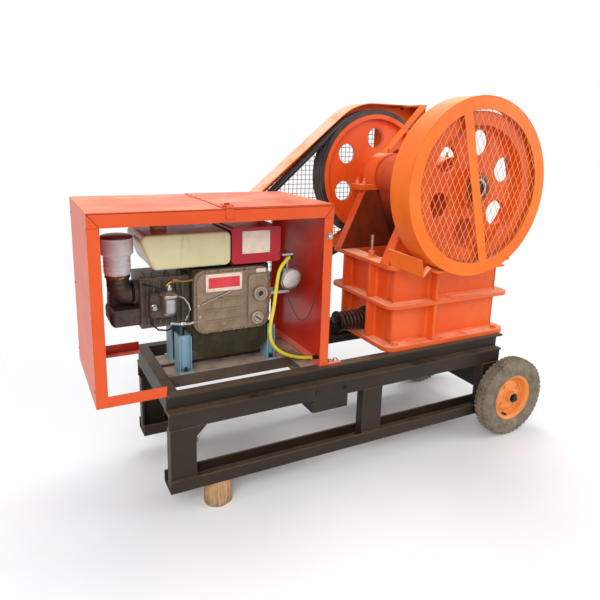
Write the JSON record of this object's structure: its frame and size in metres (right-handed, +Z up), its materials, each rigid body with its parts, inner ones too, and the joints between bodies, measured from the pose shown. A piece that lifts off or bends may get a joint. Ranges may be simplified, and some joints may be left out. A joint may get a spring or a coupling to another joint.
{
  "type": "mobile jaw crusher",
  "caption": "Jaw crusher on a wheeled steel skid with an open engine enclosure, horizontal diesel engine, V-belt drive, guarded flywheel and log supports.",
  "frame": {"origin": "middle of the machine's box at ground level", "axes": "+X along the skid from the engine to the wheels, +Y from the flywheel side to the belt side, +Z up"},
  "size_m": [2.128, 0.922, 1.611],
  "materials": {
    "skid_paint": "worn dark brown-black enamel",
    "log_wood": "dry sawn log",
    "tyre_rubber": "dusty ribbed rubber",
    "rim_paint": "orange enamel",
    "body_paint": "orange-red enamel over castings",
    "jaw_iron": "cast manganese steel",
    "dark_steel": "blackened",
    "shaft_steel": "machined",
    "wheel_paint": "orange-red enamel on cast iron",
    "guard_paint": "orange enamel on sheet",
    "belt_rubber": "matt black",
    "engine_iron": "grey-brown paint on castings",
    "case_paint": "orange-red enamel on sheet",
    "cleaner_plastic": "pale grey",
    "tank_paint": "cream enamel",
    "radiator_paint": "crimson enamel",
    "foot_paint": "pale blue enamel",
    "lamp_metal": "bright",
    "hose_plastic": "yellow hose",
    "cable_rubber": "matt black"
  },
  "bodies": {
    "root": {"air_cleaner": "cleaner_plastic", "axle": "skid_paint", "belt_guard_cover": "guard_paint", "belt_guard_plate": "guard_paint", "cylinder_head": "engine_iron", "drive_belts": "belt_rubber", "drive_pulley": "engine_iron", "enclosure_left_side": "case_paint", "enclosure_right_side": "case_paint", "enclosure_roof": "case_paint", "engine_bed": "skid_paint", "engine_block": "engine_iron", "far_beam": "skid_paint", "far_bearing": "body_paint", "far_cheek": "body_paint", "far_enclosure_sill": "case_paint", "far_legs": "skid_paint", "far_log": "log_wood", "far_lower_rail": "skid_paint", "far_side_frame": "body_paint", "fixed_jaw_plate": "jaw_iron", "flywheel_guard_band": "guard_paint", "flywheel_guard_front": "guard_paint", "front_wall": "body_paint", "fuel_tank": "tank_paint", "gear_cover": "engine_iron", "guard_foot": "guard_paint", "guard_stay": "guard_paint", "hanging_box": "skid_paint", "head_lamp": "lamp_metal", "left_cross_channel": "skid_paint", "left_engine_foot": "foot_paint", "near_beam": "skid_paint", "near_bearing": "body_paint", "near_cheek": "body_paint", "near_enclosure_sill": "case_paint", "near_legs": "skid_paint", "near_log": "log_wood", "near_lower_rail": "skid_paint", "near_side_frame": "body_paint", "radiator_box": "radiator_paint", "rear_wall": "body_paint", "right_cross_channel": "skid_paint", "right_engine_foot": "foot_paint", "swing_jaw": "body_paint", "swing_jaw_plate": "jaw_iron", "tension_rod": "dark_steel", "tension_spring": "dark_steel", "throttle_cable": "cable_rubber", "yellow_hose": "hose_plastic"},
    "rotor": {"eccentric_shaft": "shaft_steel", "flywheel": "wheel_paint", "crusher_pulley": "wheel_paint"},
    "near_wheel": {"near_tyre": "tyre_rubber", "near_rim": "rim_paint"},
    "far_wheel": {"far_tyre": "tyre_rubber", "far_rim": "rim_paint"}
  },
  "joints": [
    {"name": "rotor_spin", "type": "hinge", "parent": "root", "child": "rotor", "pos_m": [0.442, -0.029, 1.245], "axis": [0, 1, 0], "continuous": true},
    {"name": "near_wheel_spin", "type": "hinge", "parent": "root", "child": "near_wheel", "pos_m": [0.864, -0.363, 0.2], "axis": [0, 1, 0], "continuous": true},
    {"name": "far_wheel_spin", "type": "hinge", "parent": "root", "child": "far_wheel", "pos_m": [0.864, 0.305, 0.2], "axis": [0, 1, 0], "continuous": true}
  ]
}
